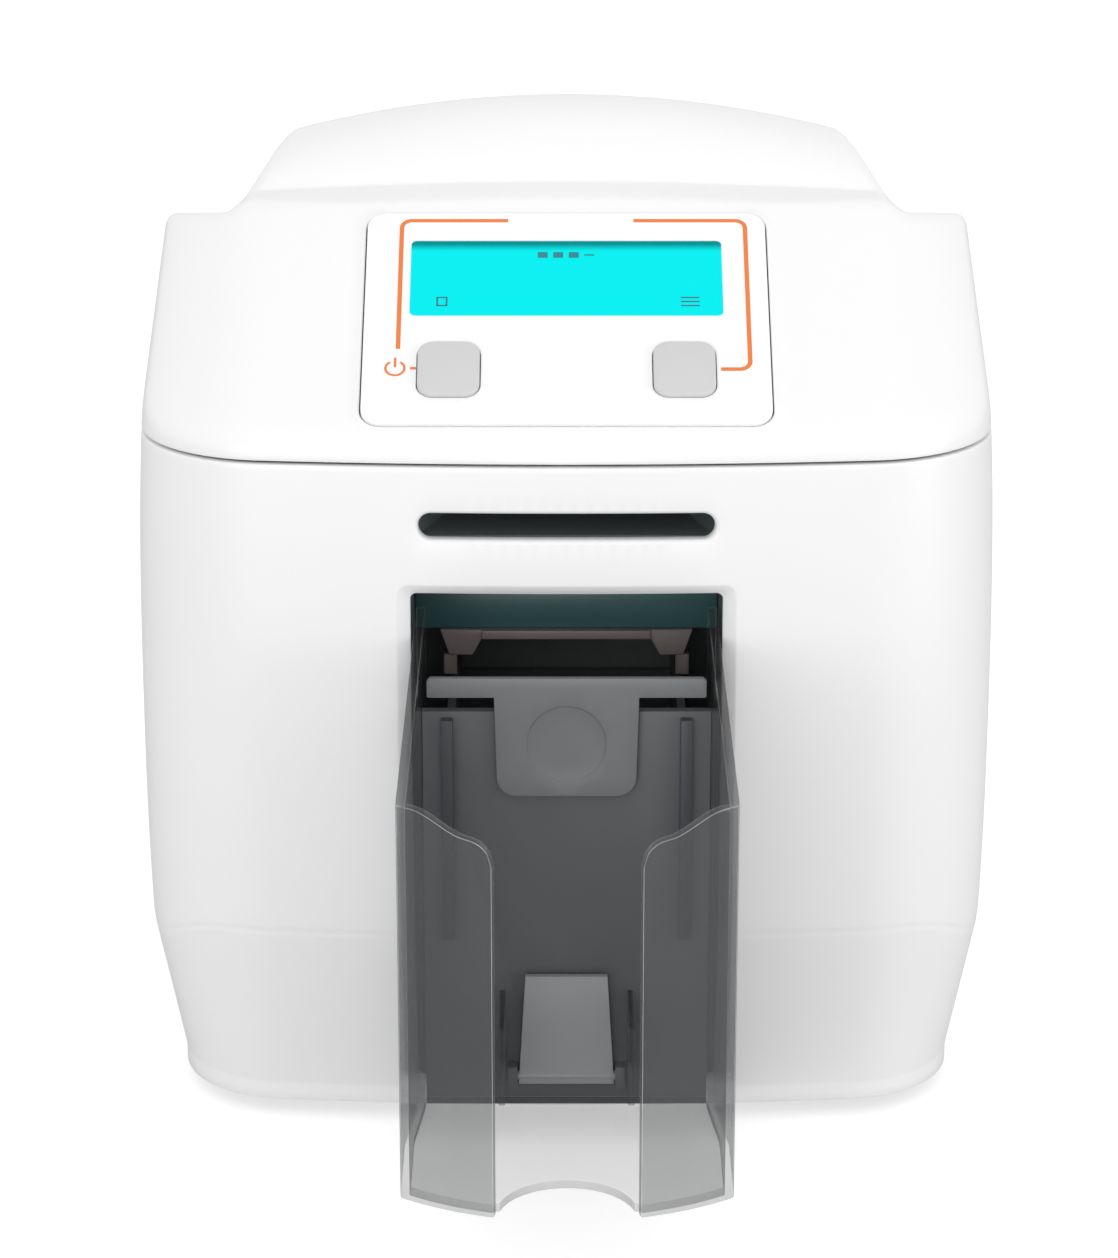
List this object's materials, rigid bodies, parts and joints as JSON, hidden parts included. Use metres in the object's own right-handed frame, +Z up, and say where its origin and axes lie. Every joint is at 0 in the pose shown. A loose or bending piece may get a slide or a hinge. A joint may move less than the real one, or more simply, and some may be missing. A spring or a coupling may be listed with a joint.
{
  "type": "id card printer",
  "caption": "Desktop card printer: white casing with a hinged lid, sloped display panel, arched hump, hand-feed slot and a pull-out smoked card hopper.",
  "frame": {"origin": "on the table, midway between the front of the hopper and the back of the casing, in the plane of symmetry", "axes": "+X to the right as seen from the front, +Y towards the back, +Z up"},
  "size_m": [0.222, 0.47, 0.252],
  "materials": {
    "dark_tray": "satin",
    "feet_rubber": "matt",
    "casing_white": "satin",
    "steel_plate": "satin",
    "dark_plastic": "satin",
    "chute_teal": "satin",
    "gate_pinkish": "satin",
    "motor_grey": "satin",
    "belt_rubber": "matt",
    "bushing_bronze": "satin",
    "board_green": "satin",
    "component_black": "matt",
    "port_metal": "bright",
    "magnet_dark": "matt",
    "film_blue": "gloss",
    "lid_white": "satin",
    "panel_white": "satin",
    "window_cyan": "gloss",
    "display_dark": "satin",
    "heatsink_alu": "satin",
    "head_ceramic": "satin",
    "button_grey": "satin",
    "roller_rubber": "matt",
    "pulley_steel": "satin",
    "tacky_blue": "satin",
    "spool_blue": "satin",
    "smoked_clear": "gloss",
    "feeder_grey": "satin",
    "cover_grey": "satin",
    "lift_grey": "satin"
  },
  "bodies": {
    "base": {"base_tray": "dark_tray", "rubber_feet": "feet_rubber", "body_shell": "casing_white", "left_side_frame": "steel_plate", "right_side_frame": "steel_plate", "cross_bars": "steel_plate", "card_deck": "dark_plastic", "feed_ramp": "dark_plastic", "card_bay": "dark_plastic", "exit_chute": "chute_teal", "feed_gate": "gate_pinkish", "slot_guide": "dark_plastic", "transport_motor": "motor_grey", "ribbon_motor": "motor_grey", "drive_belt": "belt_rubber", "shaft_bushings": "bushing_bronze", "main_board": "board_green", "board_components": "component_black", "screws": "steel_plate", "power_inlet": "dark_plastic", "usb_port": "port_metal", "network_port": "port_metal", "rear_panel": "dark_plastic", "fan_housing": "dark_plastic", "hinge_brackets": "steel_plate", "catch_magnets": "magnet_dark", "ribbon_film": "film_blue", "card_sensor": "dark_plastic"},
    "lid": {"lid_shell": "lid_white", "panel_tray": "dark_plastic", "control_panel": "panel_white", "display_window": "window_cyan", "display_module": "display_dark", "button_board": "board_green", "hinge_ears": "steel_plate", "hinge_pins": "steel_plate", "head_bracket": "steel_plate", "head_heatsink": "heatsink_alu", "print_head": "head_ceramic", "catch_strikers": "steel_plate"},
    "left_button": {"left_button": "button_grey"},
    "right_button": {"right_button": "button_grey"},
    "feed_roller": {"feed_roller": "roller_rubber"},
    "platen_roller": {"platen_roller": "roller_rubber"},
    "rear_roller": {"rear_roller": "roller_rubber"},
    "pick_roller": {"pick_roller": "roller_rubber"},
    "motor_pulley": {"motor_pulley": "pulley_steel"},
    "pinch_roller": {"pinch_roller": "roller_rubber"},
    "cleaning_roller": {"cleaning_roller": "tacky_blue"},
    "supply_spool": {"supply_spool": "spool_blue"},
    "takeup_spool": {"takeup_spool": "spool_blue"},
    "fan_rotor": {"fan_rotor": "dark_plastic"},
    "hopper": {"hopper_shell": "smoked_clear", "feeder_wall": "feeder_grey", "guide_ribs": "dark_plastic", "hopper_fins": "smoked_clear", "feeder_box": "dark_plastic"},
    "latch_tongue": {"latch_tongue": "dark_plastic"},
    "feeder_cover": {"feeder_cover": "cover_grey"},
    "card_lift": {"card_lift": "lift_grey"}
  },
  "joints": [
    {"name": "lid_hinge", "type": "hinge", "parent": "base", "child": "lid", "pos_m": [0, 0.225, 0.158], "axis": [-1, 0, 0], "range_deg": [0, 75]},
    {"name": "left_button_press", "type": "slide", "parent": "lid", "child": "left_button", "axis": [0, 0.5455, -0.8381], "range_m": [0, 0.0008], "stiffness_N_per_m": 400, "springref_m": -0.0008},
    {"name": "right_button_press", "type": "slide", "parent": "lid", "child": "right_button", "axis": [0, 0.5455, -0.8381], "range_m": [0, 0.0008], "stiffness_N_per_m": 400, "springref_m": -0.0008},
    {"name": "platen_roller_spin", "type": "hinge", "parent": "base", "child": "platen_roller", "pos_m": [0, 0.055, 0.157], "axis": [1, 0, 0], "continuous": true},
    {"name": "feed_roller_spin", "type": "hinge", "parent": "base", "child": "feed_roller", "pos_m": [0, 0.022, 0.157], "axis": [1, 0, 0], "continuous": true},
    {"name": "rear_roller_spin", "type": "hinge", "parent": "base", "child": "rear_roller", "pos_m": [0, 0.115, 0.157], "axis": [1, 0, 0], "continuous": true},
    {"name": "pick_roller_spin", "type": "hinge", "parent": "base", "child": "pick_roller", "pos_m": [0, -0.04, 0.132], "axis": [1, 0, 0], "continuous": true},
    {"name": "motor_spin", "type": "hinge", "parent": "base", "child": "motor_pulley", "pos_m": [0, 0.07, 0.12], "axis": [1, 0, 0], "continuous": true},
    {"name": "pinch_roller_spin", "type": "hinge", "parent": "base", "child": "pinch_roller", "pos_m": [0, 0.115, 0.1709], "axis": [1, 0, 0], "continuous": true},
    {"name": "cleaning_roller_spin", "type": "hinge", "parent": "base", "child": "cleaning_roller", "pos_m": [0, 0.002, 0.1699], "axis": [1, 0, 0], "continuous": true},
    {"name": "supply_spool_spin", "type": "hinge", "parent": "base", "child": "supply_spool", "pos_m": [0, 0.104, 0.192], "axis": [1, 0, 0], "continuous": true},
    {"name": "takeup_spool_spin", "type": "hinge", "parent": "base", "child": "takeup_spool", "pos_m": [0, 0.004, 0.192], "axis": [1, 0, 0], "continuous": true},
    {"name": "fan_spin", "type": "hinge", "parent": "base", "child": "fan_rotor", "pos_m": [0.03, 0.227, 0.082], "axis": [0, 1, 0], "continuous": true},
    {"name": "hopper_slide", "type": "slide", "parent": "base", "child": "hopper", "axis": [0, -1, 0], "range_m": [0, 0.13]},
    {"name": "latch_tongue_flex", "type": "hinge", "parent": "hopper", "child": "latch_tongue", "pos_m": [0, -0.1172, 0.02], "axis": [1, 0, 0], "range_deg": [0, 8], "stiffness_Nm_per_rad": 0.05, "springref_deg": -2.86},
    {"name": "feeder_cover_slide", "type": "slide", "parent": "hopper", "child": "feeder_cover", "axis": [0, 0, 1], "range_m": [0, 0.02]},
    {"name": "card_lift_slide", "type": "slide", "parent": "hopper", "child": "card_lift", "axis": [0, 0, 1], "range_m": [0, 0.08]}
  ],
  "couplings": [
    {"joint": "feed_roller_spin", "follows": "platen_roller_spin", "ratio": 1},
    {"joint": "rear_roller_spin", "follows": "platen_roller_spin", "ratio": 1},
    {"joint": "pick_roller_spin", "follows": "platen_roller_spin", "ratio": 1},
    {"joint": "motor_spin", "follows": "platen_roller_spin", "ratio": 1.5}
  ]
}
